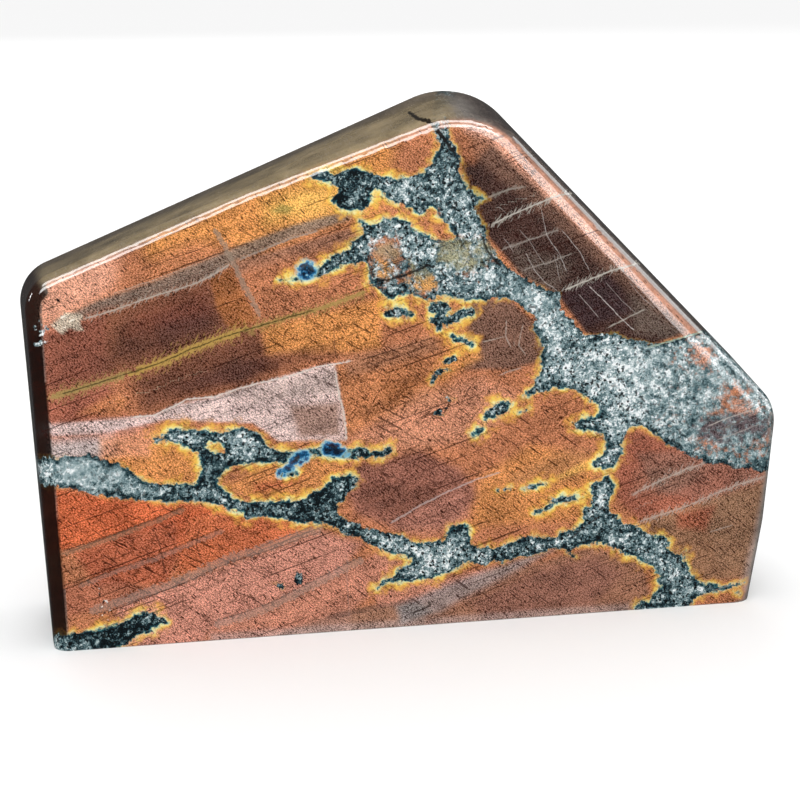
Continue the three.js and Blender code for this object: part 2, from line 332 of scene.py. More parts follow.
# How pale the filling is
pale = blobs(right, up, [
    (-67, 36, 6, 0.62), (-59, 34, 4, 0.52), (-49, 30.5, 6, 0.44), (-41, 34, 4, 0.2), (-34, 40, 3, 0.7),
    (-46, 41.5, 3, 0.5), (-28, 36.5, 5, 0.3), (-14, 36.5, 6, 0.1), (-22, 27, 6, 0.04),
    (-34, 26.5, 5, 0.36), (-15, 30, 4, 0.25), (-14, 21.5, 4, 0.4), (-6, 17.5, 5, 0.58), (3, 14.5, 5, 0.66),
    (8, 19.5, 2, 0.2), (18, 15, 6, 0.4), (34, 18, 5, 0.3), (36.5, 23.5, 3, 0.62), (37, 32, 4, 0.5),
    (45, 14, 5, 0.42), (52, 8, 5, 0.52), (52, 1, 5, 0.36), (42, 48, 11, 0.72), (33, 41, 4, 0.35),
    (28, 54, 6, 0.6), (14, 68.5, 6, 0.52), (23, 63, 5, 0.7), (-15, 87, 4, 0.12), (-12, 91, 3, 0.24),
    (-11, 84.5, 3, 0.2), (2, 88, 5, 0.34), (-3, 87.5, 3, 0.55), (5, 94, 4, 0.4), (8.5, 88, 3, 0.32),
    (-5, 80, 5, 0.58), (-13, 76, 5, 0.5), (2, 80, 5, 0.6), (8, 81, 4, 0.5), (-60, 3, 8, 0.04),
    (60, 45, 10, 0.56), (60, 37, 8, 0.5), (3, 62.5, 4, 0.42), (-5, 70.5, 4, 0.4), (8, 73, 5, 0.56),
    (-72, 62.5, 3, 1.15),
], ground=0.44)
# How much the grains of the filling differ from each other
lively = blobs(right, up, [
    (-66, 36.5, 5, 0.3), (-59, 35.5, 4, 0.4), (-52, 31, 3, 0.8), (58, 47, 10, 0.5), (62, 36, 8, 0.5),
    (50, 44, 5, 0.75), (70, 32, 6, 0.5), (24, 64, 6, 0.75), (-40, 34, 2.5, 0.6), (18, 67, 5, 0.75),
    (48, 52, 4, 0.7),
], ground=1.0)
# How strongly the ground's own grain shows, which is less on every side than on the flat front
SIDE_GRAIN = 0.15
grained = into(0.1, 0.01, 1 + facing[:, 1]) * (1 - SIDE_GRAIN) + SIDE_GRAIN
# Where steep hairline cracks hatch the ground
steep = blobs(right, up, [
    (-6, 46, 10, 1.0), (8, 44, 10, 1.0), (4, 36, 8, 0.7), (-44, 62, 10, 0.3), (-4, 62, 6, 0.7),
    (20, 30, 8, 0.4), (30, 40, 6, 0.7), (-26, 31, 5, 0.8), (-66, 24, 6, 0.3),
], ground=0.12)
per_vertex(mesh, "temper", "FLOAT_VECTOR", np.stack([lively, grained, steep], -1))
# Where the filling turns blue
blue = blobs(right, up, [
    (-22.3, 72.7, 1.6, 1), (-18.4, 37.6, 1.2, 1), (-16.8, 37.2, 1.1, 1), (-15.6, 36.6, 1.0, 0.6),
    (-14.6, 36.2, 0.9, 0.3), (-26, 34.2, 1.0, 0.7), (-25.4, 34.9, 1.1, 0.3), (-24.4, 35.8, 1.2, 0.8),
    (-27.6, 33, 0.9, 0.8), (-23, 36.6, 1.2, 0.6),
])
per_vertex(mesh, "rim", "FLOAT_VECTOR", np.stack([halo, pale, blue], -1))
# Where the filling is whole, and where it thins to a veil that the ground shows through
veil = blobs(right, up, [
    (-6.8, 75.6, 3.2, 0.0), (5.5, 75.4, 2.6, 0.1), (1, 69.2, 2.2, 0.1), (9, 74, 4.5, 0.4),
    (13, 75.5, 2.5, 0.5), (-1.5, 70.8, 3, 0.45), (-7, 71.6, 3, 0.45), (3, 82.4, 1.6, 0.6),
    (57, 52.5, 4, 0.35), (51, 52, 3, 0.75), (64, 44, 3.5, 0.35), (60, 36.8, 5, 0.3), (67, 38, 4, 0.3),
    (54, 45, 4, 0.8), (50, 39.5, 3, 0.7), (66, 31, 4, 0.7), (43, 57, 3, 0.8), (74, 36, 6, 0.4),
    (4, 104, 5, 0.0),
], ground=1.0)

# The ground is clear feldspar full of flat layers too thin to see. Light flashes back from them in
# coppery orange, which dulls to maroon, mauve and grey where a block of the crystal is tilted.

# Each patch is its shade, how strong it is, how many millimetres its edge takes, and its outline
PATCHES = [
    ("salmon", 0.9, 6, [(-78, 60), (-58, 70.5), (-58, 84), (-78, 80)]),
    ("amber", 0.9, 4, [(-52, 72), (-30, 77), (-8, 84), (-4, 100), (-30, 94), (-54, 84)]),
    ("copper", 0.85, 4, [(-60, 69), (-40, 73), (-36, 78), (-44, 79), (-56, 74.5)]),
    ("gold", 0.75, 5, [(-30, 86), (-20, 90), (-14, 88), (-18, 83), (-30, 82)]),
    ("khaki", 0.7, 1, [(-29, 84), (-27, 85.6), (-24.5, 84.8), (-25.6, 83.6)]),
    ("umber", 0.7, 1, [(-36, 72), (-24, 75), (-12, 77.5), (-12, 81), (-24, 77.8), (-36, 75)]),
    ("copper", 0.5, 2, [(-36, 70), (-34, 74), (-14, 78), (-10, 70), (-28, 66)]),
    ("ash", 0.85, 0.8, [
        (-66, 65), (-50, 69.5), (-41, 72), (-36, 75), (-25, 79), (-14, 82), (-12, 84.5), (-25, 81.4),
        (-36, 77.6), (-50, 72.2), (-62, 68.4), (-66, 66.6),
    ]),
    ("brick", 0.9, 4, [(-76, 50), (-60, 53.5), (-60, 66.5), (-76, 63)]),
    ("maroon", 0.4, 1, [
        (-80, 49), (-80, 60), (-57, 66.7), (-50, 69), (-41.3, 71.4), (-38.6, 66), (-36.6, 61.2),
        (-45, 58.5), (-53, 56),
    ]),
    ("maroon", 0.95, 9, [(-62, 55), (-58, 66), (-50, 69), (-40, 72), (-36, 61), (-45, 58), (-50, 56)]),
    ("rust", 0.15, 5, [(-56, 62), (-54, 66), (-42, 69), (-40, 65)]),
    ("plum", 0.35, 5, [(-50, 60.5), (-41, 62.5), (-41, 66), (-50, 64.5)]),
    ("sienna", 0.85, 1, [
        (-40.5, 71.7), (-36.5, 74), (-35, 70), (-33, 66), (-31.5, 63), (-37, 62), (-39.5, 66),
    ]),
    ("maroon", 0.85, 5, [
        (-56, 53.6), (-50, 55.8), (-40, 59.5), (-31, 62.4), (-30, 58), (-25, 53.5), (-36, 50), (-46, 48),
        (-54, 46.5),
    ]),
    ("plum", 0.4, 3, [(-48, 51), (-36, 56), (-29, 56), (-34, 51.5)]),
    ("brick", 0.9, 2, [(-76, 49), (-60, 53), (-58, 48), (-57, 46), (-76, 44.5)]),
    ("amber", 0.35, 2, [(-66, 47), (-60, 50.5), (-57, 49.5), (-58, 46)]),
    ("amber", 0.85, 2, [(-30, 57), (-31, 62), (-18, 64.6), (-8, 67), (-8, 57), (-16, 56.5)]),
    ("maroon", 0.45, 1.5, [(-29, 54), (-28, 57.4), (-17, 58.4), (-16, 55.6)]),
    ("amber", 0.2, 3, [(-17, 54), (4, 59), (6, 47), (-15, 40)]),
    ("umber", 0.5, 2, [(-16, 55), (2, 59), (4, 56), (-14, 51.5)]),
    ("sienna", 0.55, 3, [(-8, 50), (6, 52), (7, 46), (-6, 43)]),
    ("rose", 0.75, 1.5, [(-76, 45.5), (-50, 45.5), (-58, 41), (-76, 40)]),
    ("chalk", 0.95, 0.2, [
        (-70.4, 64.2), (-68, 66.4), (-64.2, 66.2), (-65, 64.6), (-64.6, 63), (-67.2, 63.4), (-68.4, 62.4),
    ]),
    ("lilac", 0.82, 0.7, [
        (-57, 45.8), (-52, 45.9), (-47.5, 47.8), (-40, 49), (-30, 51.5), (-20, 54), (-17, 54.4),
        (-15.3, 44), (-14.9, 38.9), (-20, 39.3), (-28, 39.5), (-33, 43.5), (-50, 45), (-60, 43.2),
        (-76, 43), (-76, 45),
    ]),
    ("ash", 0.35, 1.5, [(-36, 49.4), (-17, 53.6), (-16.4, 49), (-32, 47.5)]),
    ("umber", 0.8, 2, [(-26, 46.4), (-16, 46.8), (-16, 40), (-24, 40)]),
    ("haze", 0.85, 3, [(-72, 38), (-72, 42), (-60, 42.4), (-59, 38.4)]),
    ("amber", 0.7, 2, [(-62, 37.5), (-62, 42), (-50, 43), (-44, 38), (-44, 32.5), (-52, 32.5), (-60, 36)]),
    ("rose", 0.5, 2, [(-62, 38.5), (-62, 42.5), (-51, 43), (-53, 38)]),
    ("amber", 0.6, 2, [(-39, 31), (-30, 35.5), (-20, 35.5), (-13, 33), (-18, 28.5), (-30, 27.5)]),
    ("rust", 0.6, 1.5, [(-33, 29), (-24, 31), (-23, 33), (-33, 31.5)]),
    ("salmon", 0.4, 4, [(-14, 39), (0, 48), (12, 50), (20, 46), (12, 38), (-2, 36)]),
    ("mauve", 0.75, 2.5, [(-13, 34), (0, 36), (8, 32), (12, 26), (6, 20), (-4, 20), (-13, 24), (-15, 29)]),
    ("maroon", 0.4, 2, [(-12, 29.5), (0, 29.5), (5, 26), (-4, 23), (-12, 25.5)]),
    ("rose", 0.35, 2, [(-6, 20.5), (0, 24.5), (8, 27.5), (10, 22), (2, 18)]),
    ("amber", 0.65, 3, [(10, 20), (34, 20), (36, 33), (22, 36), (12, 30)]),
    ("tan", 0.35, 3, [(18, 30), (30, 35), (35, 34), (32, 29), (20, 26)]),
    ("gold", 0.7, 1.2, [(22, 26.5), (36, 33.2), (36, 31), (28, 28.5), (20, 25.5)]),
    ("flame", 0.85, 1.5, [
        (-76, 34), (-60, 30), (-45, 28), (-37, 26.5), (-45, 25), (-60, 22.5), (-76, 19),
    ]),
    ("rust", 0.7, 2.5, [(-68, 20), (-52, 25), (-46, 25), (-48, 17), (-50, 12), (-64, 13)]),
    ("flame", 0.6, 2, [(-48, 25), (-36, 26), (-20, 22.6), (-30, 18.5), (-38, 16), (-48, 14)]),
    ("brick", 0.6, 2, [(-74, 13), (-62, 14), (-50, 11), (-62, 8.5), (-74, 6)]),
    ("rose", 0.9, 2.5, [
        (-60, 8.5), (-38, 15.5), (-20, 21), (-12, 18), (-16, 12), (-30, 6.5), (-42, 2), (-50, -14),
        (-60, -14),
    ]),
    ("rose", 0.6, 2, [
        (-42, 2), (-30, 6), (-16, 12), (-8, 16), (-4, 14), (-8, 9), (-14, 4), (-16, -14), (-42, -14),
    ]),
    ("ash", 0.5, 2, [(-30, 0), (-16, 4), (-2, 6), (2, 3), (-4, -14), (-30, -14)]),
    ("rose", 0.6, 1, [(-9, 8), (0, 9), (10, 10.5), (14, 11), (12, 9), (0, 5), (-9, 4.5)]),
    ("umber", 0.7, 1.5, [
        (2, 2.5), (8, 4), (14, 7.5), (22, 11), (30, 13), (36, 14), (46, 9.5), (48, 2), (46, -14), (0, -14),
    ]),
    ("mauve", 0.5, 3, [(10, 4), (24, 10), (36, 12), (42, 8), (36, 2), (14, 0)]),
    ("mist", 0.65, 2, [
        (-5, 4.5), (6, 8.5), (14, 10.8), (22, 13), (28, 14.4), (20, 10.2), (12, 6.4), (4, 2.6), (-4, 0.6),
    ]),
    ("haze", 0.35, 1.5, [(-42, 1.4), (46, 1.4), (46, -14), (-42, -14)]),
    ("brick", 0.85, 2, [(40, 38), (48, 37), (56, 32), (70, 28.5), (73, 26), (58, 22), (45, 19), (40, 24)]),
    ("umber", 0.4, 3, [(44, 30), (52, 30), (60, 27), (50, 24), (43, 24)]),
    ("rust", 0.4, 2, [(60, 29), (66, 28.5), (64, 25), (56, 22), (52, 24)]),
    ("ash", 0.35, 2, [(44, 33), (52, 33), (72, 27), (74, 6), (62, 8), (58, 22), (48, 25)]),
    ("tan", 0.85, 2, [(45, 18.5), (74, 26), (74, 5), (58, 5), (50, 14)]),
    ("rust", 0.55, 2, [(53, 20), (61, 21), (59, 16), (53, 17)]),
    ("bark", 0.96, 1, [
        (6.5, 97), (12, 101), (20, 98), (40, 82), (60, 60), (56, 58), (47, 55), (33, 58), (27, 66),
        (20, 70), (12, 79), (10, 84), (8, 90),
    ]),
    ("copper", 0.85, 2, [(6.8, 99), (14, 96), (10, 92), (7.6, 93)]),
    ("plum", 0.55, 2, [(27, 66), (38, 70), (42, 62), (33, 59)]),
    ("ash", 0.4, 2.5, [(42, 66), (56, 58), (50, 56), (43, 57.5)]),
    ("ash", 0.35, 3, [(18, 76), (30, 72), (26, 66), (18, 71)]),
    ("umber", 0.5, 2.6, [
        (9, 99.5), (14, 99), (28, 86), (46, 68.5), (60, 58), (54, 56.6), (39, 68.5), (21, 84.5),
        (10, 93.5),
    ]),
    # Partly the flash and partly a painted highlight: the pink band along the long slope's rolled edge
    ("salmon", 0.95, 1.6, [
        (8, 101), (14, 100.6), (20, 97), (30, 88.4), (46, 73), (62, 58.4), (72, 49), (65, 49.4),
        (54.6, 57), (42.6, 68), (28.8, 81.2), (19.4, 90), (13.4, 96), (8, 98.2),
    ]),
    ("cocoa", 0.85, 1.2, [(10, 66), (18, 65), (24, 59), (24.6, 53), (18, 51.5), (8, 52), (9, 58)]),
    ("amber", 0.7, 2, [(4, 50), (12, 54), (10.5, 58), (5, 60)]),
    ("lead", 0.9, 1.5, [(52, 37.5), (56, 39.5), (64, 40.5), (72, 40), (72, 35), (64, 33), (58, 35)]),
    ("salmon", 0.75, 2, [(64, 42), (68, 47), (74, 44), (72, 40.5), (66, 39.8)]),
    ("salmon", 0.65, 2, [(54, 57), (60, 57), (68, 48), (64, 46.5), (58, 48.5), (52, 55)]),
    ("haze", 0.55, 3, [
        (72, 42), (76, 42), (76, 25), (73, 15), (70, 3), (69, -14), (66.5, -14), (67.5, 3), (70, 15),
        (72, 25),
    ]),
    ("sage", 0.9, 1, [
        (-1, 69.5), (2.5, 70.8), (12, 71.3), (14.5, 75), (12.5, 77.5), (8, 78), (3, 77.2), (-1, 77.6),
        (-3, 74),
    ]),
    ("gold", 0.6, 2, [(-4, 67.5), (3, 68), (6, 70.5), (-3, 70.6)]),
    ("gold", 0.5, 2, [(-10, 71), (-6, 70), (-5, 73.5), (-9, 74.5)]),
    ("sage", 0.55, 2, [(-9.6, 75.4), (-8.5, 77), (-6, 77.6), (-3.6, 75.5), (-5, 73.8)]),
]
SHADES = {
    "copper": "#b17250", "salmon": "#d79c82", "amber": "#d08c4e", "gold": "#e4b05c", "flame": "#c2603a",
    "rust": "#a25038", "brick": "#985a48", "rose": "#c18674", "mauve": "#7e544c", "maroon": "#5c3a2e",
    "plum": "#30232a", "bark": "#382825", "cocoa": "#675046", "umber": "#866453", "tan": "#82634c",
    "ash": "#74695f", "lilac": "#d2beba", "haze": "#b8aeac", "lead": "#4c4850", "sage": "#8f9274",
    "khaki": "#8c8648", "sienna": "#945c34", "mist": "#7b8488", "chalk": "#b9ab98",
}


def linear(shade, alpha=1.0):
    """A colour written as sRGB hex, as the renderer's linear light."""
    parts = [int(shade[place:place + 2], 16) / 255 for place in (1, 3, 5)]
    return *(part / 12.92 if part <= 0.04045 else ((part + 0.055) / 1.055) ** 2.4 for part in parts), alpha


def tinted(colours, shade, share):
    """Colours with this much of a shade mixed in."""
    return colours + share[:, None] * (np.array(linear(shade)) - colours)


ground = np.tile(linear(SHADES["copper"]), (len(mesh.vertices), 1))
for shade, strength, softness, outline in PATCHES:
    share = strength * into(softness / 2, -softness / 2, outside(right, up, outline))
    ground = tinted(ground, SHADES[shade], share)

# Seen from the side the layers don't flash, and the rolled edges and the back show the plain stone:
# khaki along the top left and smoke grey on the right. The left side and its rolled edge are painted
# nearly black as painted shade, and the flash ends sooner there so that the shade reaches onto the roll.
SMOKE = "#77736e"
KHAKI_GREY = "#86795f"
DUSK = "#4e4a46"                 # the top left side, towards its back
SLOPE_GREY = "#4a4442"
# painted shade for the left side
PAINTED_LEFT_SHADE = "#0c0504"
BACK_GREY = "#6b6660"
to_right, to_back, to_top = facing.T
upwards = into(0.15, 0.8, to_top)
# Where the stone faces left and gets the painted shade
shaded_left = into(0.5, 0.75, -to_right / np.maximum(np.hypot(to_right, to_top), 0.01))
shaded_left = shaded_left * into(0.02, 0.18, -to_right)
behind = into(0.4, 0.95, to_back)
sloping = into(0.3, 0.6, to_right) * into(0.3, 0.6, to_top)
turned = into(0.1, 0.36, 1 + to_back + 0.55 * shaded_left + 0.08 * sloping)
side_colour_and_shade = np.tile(linear(SMOKE), (len(mesh.vertices), 1))
side_colour_and_shade = tinted(side_colour_and_shade, KHAKI_GREY, upwards * into(0.1, -0.1, to_right))
side_colour_and_shade = tinted(side_colour_and_shade, DUSK, 0.7 * upwards * into(14, 20, depth))
side_colour_and_shade = tinted(side_colour_and_shade, SLOPE_GREY, upwards * into(0.1, 0.4, to_right))
# Painted shade: the left side nearly black
side_colour_and_shade = tinted(side_colour_and_shade, PAINTED_LEFT_SHADE, shaded_left)
side_colour_and_shade = tinted(side_colour_and_shade, BACK_GREY, behind)
muted = turned * (0.97 - 0.3 * behind)
ground = ground + muted[:, None] * (side_colour_and_shade - ground)
per_vertex(mesh, "ground", "FLOAT_COLOR", ground)
flash = 1 - turned * (0.9 - 0.5 * behind)

# Old cracks that grew together again show as paler lines, many with a fringe of fine strokes. Each
# line is its shade, its half width, its fringe's reach, how strongly it shows, and its route.
SEAMS = [
    ("#b4aca0", 0.14, 1.1, 0.8, [
        (-65, 65), (-58.5, 66.7), (-55.3, 67.8), (-50.7, 69.1), (-45, 70.6), (-41.5, 71.8), (-39.5, 73),
        (-36, 74.8),
    ]),
    ("#9c948a", 0.20, 0.6, 0.6, [(-36, 74.8), (-32, 76.5), (-25, 79), (-19, 80.5)]),
    ("#b0a698", 0.09, 0.2, 0.45, [(-60, 69.4), (-50, 72.4), (-42, 75.2)]),
    ("#a28d54", 0.52, 2.2, 0.8, [(-72, 50.2), (-65, 52), (-60, 53.4), (-55, 54.8)]),
    ("#b89850", 0.62, 2.6, 0.85, [
        (-57, 54.2), (-55, 54.8), (-50, 56.2), (-45, 58.3), (-40, 60), (-35, 61.5), (-33, 62),
    ]),
    ("#a48e50", 0.38, 2.0, 0.75, [
        (-35, 61.5), (-30, 62.7), (-25, 64), (-20, 65.2), (-15, 66.7), (-10, 68.5),
    ]),
    ("#ddd5cc", 0.13, 0.7, 0.8, [
        (-57, 45.8), (-52, 45.9), (-47.5, 47.8), (-45.5, 48.8), (-40, 49), (-36, 50.3), (-32, 51.2),
        (-25, 52.5), (-20, 54), (-16, 54.3), (-13, 54.9),
    ]),
    ("#86705c", 0.50, 0.9, 0.45, [(-71, 19.4), (-60, 22.4), (-52, 25.1), (-45.5, 27.4)]),
    ("#8f7a70", 0.50, 0.7, 0.35, [(-68, 12.6), (-60, 15.4), (-52, 17.6), (-44, 20.6), (-38, 22.6)]),
    ("#9c8a80", 0.90, 0.8, 0.4, [
        (-66, 7.4), (-50, 12), (-45, 13.8), (-38, 16.6), (-30, 18.6), (-24, 20.5), (-19, 21.9),
    ]),
    ("#9c8a80", 0.80, 0.6, 0.4, [
        (-42, 3), (-35, 4.6), (-30, 6.2), (-24, 9), (-18, 11.7), (-14, 13.6), (-11, 14.8),
    ]),
    ("#4a3632", 0.50, 0.5, 0.4, [(-20, 3), (-8, 4.6), (0, 5.5)]),
    ("#c0b4b0", 0.18, 0.4, 0.5, [(-7, 21.2), (0, 25), (5, 27.3), (11, 29.5), (17, 31)]),
    ("#a89c92", 0.14, 0.6, 0.6, [(15, 50.2), (18, 51.3), (20.5, 51.8)]),
    ("#b4a89c", 0.12, 0.4, 0.6, [(11, 57), (17.5, 58.3)]),
    ("#bdb8ae", 0.15, 1.3, 0.85, [(12.7, 79.7), (17, 81.7), (22, 83.6), (25.3, 84.9), (31.5, 86.4)]),
    ("#9c968c", 0.18, 0.9, 0.6, [(12, 85.2), (17.5, 87), (20.8, 87.4)]),
    ("#9c948c", 0.14, 0.9, 0.65, [(15, 75), (20, 76.5), (24.7, 78), (28, 79)]),
    ("#bdb8ae", 0.15, 1.3, 0.85, [(27.5, 66.5), (33, 68.5), (38, 70.3), (44.5, 71.8)]),
    ("#9c948c", 0.12, 0.6, 0.6, [(19, 70.8), (25, 72.3), (31, 74.4)]),
    ("#9cae9c", 0.16, 0.0, 0.85, [(44.5, 54.3), (52, 56), (58.3, 57.6)]),
    ("#a8a298", 0.14, 0.4, 0.7, [(36.5, 58.5), (41, 60.5), (46, 62.8)]),
    ("#b9aea2", 0.10, 1.4, 0.8, [(42.8, 24.2), (50, 27.4), (55, 29.3), (59, 30.3)]),
    ("#b9aea2", 0.10, 1.4, 0.8, [(44, 18.4), (50, 20), (55, 21.3), (60, 23.3), (65, 25), (72, 26.7)]),
    ("#a89a8e", 0.12, 0.4, 0.6, [(59, 15.3), (66, 17)]),
    ("#a89a8e", 0.12, 0.6, 0.6, [(60, 2.5), (65, 4), (70, 5.9)]),
    ("#b4aca4", 0.12, 0.4, 0.75, [(58, 37.5), (63, 39.3), (70, 41.2)]),
    ("#a8a09a", 0.10, 0.3, 0.7, [(60, 34.5), (66, 36.4), (71, 38)]),
]
FAULTS = [
    ("#948272", 0.50, 0.6, 0.6, [
        (-40, 82), (-38, 78.5), (-36.3, 74.8), (-34.6, 71), (-32.5, 67), (-30.9, 63.5),
    ]),
    ("#cfc6bc", 0.20, 0.5, 0.75, [
        (-17, 54), (-16.5, 50), (-16, 47.5), (-15.2, 44), (-14.9, 41), (-14.7, 38.5),
    ]),
    ("#5a3a2c", 0.12, 0.4, 0.6, [(-17, 63), (-17, 58), (-16.5, 55)]),
    ("#8a7068", 0.16, 0.3, 0.35, [(-15, 17), (-14.8, 11), (-14.6, 6), (-14.4, 2)]),
    ("#48261e", 0.12, 0.5, 0.7, [(-53, 25), (-51.3, 20), (-50.8, 16), (-49.8, 13)]),
    ("#48261e", 0.12, 0.4, 0.6, [(-47.2, 11.5), (-47.3, 6)]),
    ("#48261e", 0.12, 0.4, 0.7, [(-43.5, 24), (-44.4, 19.5), (-43.2, 16)]),
    ("#c4bdb8", 0.07, 0.2, 0.6, [(20, 75.5), (22, 71.5), (24.3, 68.7), (28, 66)]),
    ("#c4bdb8", 0.07, 0.2, 0.6, [(23.2, 84), (24.8, 77.5), (27, 74.5), (29.3, 69.5)]),
    ("#c4bdb8", 0.08, 0.2, 0.8, [(32.5, 68.3), (35.5, 65.5), (38, 63), (40.8, 60), (43.6, 57.5)]),
    ("#c4bdb8", 0.07, 0.2, 0.6, [(30.5, 66.8), (33.5, 63.5), (36.3, 60)]),
    ("#c4bdb8", 0.05, 0.2, 0.5, [(18.5, 80), (21.5, 76.4), (25, 71)]),
    ("#c4bdb8", 0.05, 0.2, 0.5, [(26, 75), (28, 67)]),
    ("#c4bdb8", 0.05, 0.2, 0.5, [(14, 84.5), (17.5, 81.5)]),
    ("#c4bdb8", 0.05, 0.2, 0.5, [(15.5, 78.5), (19, 73.6)]),
    ("#c4bdb8", 0.06, 0.2, 0.65, [(27, 79.6), (31.6, 74), (34, 69.4)]),
    ("#c4bdb8", 0.05, 0.2, 0.5, [(36, 69), (40, 64.4), (44.4, 60.4)]),
    ("#c4bdb8", 0.05, 0.2, 0.5, [(40.6, 69), (44.6, 64.4), (48, 61.6)]),
    ("#c4bdb8", 0.06, 0.2, 0.6, [(48.3, 65), (50.3, 60.3)]),
    ("#b4a89c", 0.11, 0.2, 0.65, [(17, 62.5), (16.8, 58), (18.3, 55)]),
    ("#b4a89c", 0.10, 0.2, 0.6, [(20.5, 61.5), (19.4, 56.4), (21.3, 53.4)]),
    ("#f2eee6", 0.15, 0.0, 0.95, [(-63.7, 12.7), (-62.9, 11.9)]),
    ("#f2eee6", 0.13, 0.0, 0.95, [(-63.4, 10.9), (-62.8, 11.5)]),
    ("#f2eee6", 0.16, 0.0, 0.95, [(-62.9, 10.3), (-62.0, 9.5)]),
    ("#f2eee6", 0.13, 0.0, 0.95, [(-61.5, 9.9), (-62.1, 9.0)]),
    ("#f2eee6", 0.15, 0.0, 0.95, [(-63.3, 8.3), (-62.4, 8.8)]),
    ("#f2eee6", 0.13, 0.0, 0.95, [(-61.6, 8.1), (-61.1, 7.3)]),
    ("#f2eee6", 0.17, 0.0, 0.95, [(-63.2, 7.2), (-62.5, 6.5)]),
    ("#f2eee6", 0.13, 0.0, 0.95, [(-62.2, 6.3), (-61.6, 5.4)]),
    ("#f0e8da", 0.22, 0.3, 0.9, [(-69, 65.2), (-67.4, 66.3)]),
    ("#f0e8da", 0.18, 0.3, 0.9, [(-67.6, 64.6), (-65.6, 65.4)]),
    ("#f0e8da", 0.16, 0.2, 0.9, [(-68.6, 63.6), (-67.2, 63.9)]),
    ("#6e6258", 0.16, 0.3, 0.6, [(61, 36.5), (67.5, 39.5)]),
]
DARK_CRACKS = [
    ("#2c2012", 0.12, 0.6, 0.85, [
        (-70, 50.8), (-65, 52), (-60, 53.4), (-55, 54.8), (-50, 56.2), (-45, 58.3), (-40, 60), (-35, 61.5),
        (-30, 62.7), (-25, 64), (-20, 65.2),
    ]),
    ("#2e1a12", 0.11, 0.3, 0.8, [(-13, 54.6), (-5, 56.5), (0, 58), (3, 58.6)]),
    ("#4a3c38", 0.10, 0.6, 0.6, [(-52, 45.5), (-47.5, 47.3), (-40, 48.4), (-32, 50.6)]),
    ("#241814", 0.12, 0.5, 0.7, [(-71, 20), (-60, 23), (-52, 25.7), (-45.5, 28)]),
    ("#2e1d18", 0.10, 0.4, 0.6, [(-69.5, 12.7), (-60, 16), (-52, 18.2), (-44, 21.2), (-37, 23.6)]),
    ("#33231e", 0.10, 0.4, 0.6, [
        (-66, 6.6), (-50, 11.2), (-45, 13), (-38, 15.8), (-30, 17.8), (-24, 19.7), (-19, 21.1),
    ]),
    ("#33231e", 0.10, 0.4, 0.6, [
        (-42, 3.8), (-35, 5.4), (-30, 7), (-24, 9.8), (-18, 12.5), (-14, 14.4), (-11, 15.6),
    ]),
    ("#2c1e1a", 0.22, 0.4, 0.8, [(-3, 2.3), (2, 4), (1.4, 5.5)]),
    ("#14100e", 0.36, 0.5, 0.95, [
        (-4.4, 104), (-1, 101.2), (1.4, 100.4), (3.4, 98), (5.4, 95.6), (6.6, 94),
    ]),
    ("#181614", 0.26, 0.8, 0.9, [(-9.5, 70), (-5, 70.5), (-1, 71.8), (2.5, 73.2)]),
    ("#181410", 0.18, 0.6, 0.9, [(-29.6, 70.8), (-27.5, 71), (-23.4, 71.2)]),
    ("#1c1814", 0.22, 0.8, 0.85, [(11.5, 79), (13, 75), (16.5, 71)]),
    ("#30211c", 0.14, 0.3, 0.7, [(30, 15.6), (34, 18.6), (37.6, 21)]),
    ("#2a1a16", 0.12, 0.3, 0.6, [(20.5, 27), (15, 26.4)]),
    ("#1a0c10", 0.24, 0.2, 0.95, [(-69.4, 69.6), (-68.6, 68.2)]),
    ("#241a16", 0.20, 0.0, 0.9, [(-63.4, 11.9), (-63, 10.2)]),
    ("#241a16", 0.20, 0.0, 0.9, [(-62.3, 10.4), (-62.6, 8.4)]),
    ("#241a16", 0.20, 0.0, 0.9, [(-61.8, 8.2), (-62.6, 6.9)]),
    ("#3a2420", 0.14, 0.4, 0.6, [(-10.5, 29.8), (-6, 30.8)]),
    ("#5a382c", 0.14, 0.3, 0.6, [(41.5, 35), (46.8, 36.8)]),
]
FRINGE_SWAY = 1.4                # a fringe's longest strokes, as a share of its reach
LINE_CLEAR = 0.8                 # how far past its fringe a line starts to fade out
LINE_GONE = 1.6                  # and where nothing is left of it
LINE_TIP = 1.5                   # the length over which its ends thin out
PAST_THE_END = 0.5               # how far below nothing its width falls, so that no trace runs on


def lay_lines(name, lines):
    """Keeps at each vertex how far beside the nearest line it is, and the line's width and shade."""
    nearest = np.full(len(mesh.vertices), np.inf)
    across = np.zeros((len(mesh.vertices), 3))
    shades = np.zeros((len(mesh.vertices), 4))
    for shade, width, fringe, strength, route in lines:
        for index, (start, end) in enumerate(zip(route, route[1:])):
            along = np.array(end) - np.array(start)
            length = math.hypot(*along)
            share = ((right - start[0]) * along[0] + (up - start[1]) * along[1]) / length ** 2
            offset = ((up - start[1]) * along[0] - (right - start[0]) * along[1]) / length
            gap = distance_to(right, up, start, end)
            closer = gap < nearest
            longest = FRINGE_SWAY * fringe
            reach = into(longest + LINE_GONE, longest + LINE_CLEAR, gap)
            fade = min(LINE_TIP, length / 3) / length
            if index == 0:
                reach = reach * into(0, fade, share)
            if index == len(route) - 2:
                reach = reach * into(1, 1 - fade, share)
            nearest = np.where(closer, gap, nearest)
            values = np.stack([offset, width * reach - PAST_THE_END * (1 - reach), fringe * reach], -1)
            across = np.where(closer[:, None], values, across)
            tint = np.array(linear(shade, strength))
            shades = np.where(closer[:, None], tint, shades)
    per_vertex(mesh, name, "FLOAT_VECTOR", across)
    per_vertex(mesh, name + "_shade", "FLOAT_COLOR", shades)


lay_lines("seams", SEAMS)
lay_lines("faults", FAULTS)
lay_lines("dark_cracks", DARK_CRACKS)

# The sawn foot faces down at the level that the stone stands on
sawn = into(-0.5, -0.95, to_top) * into(0.6, 0.1, corners[:, 2])
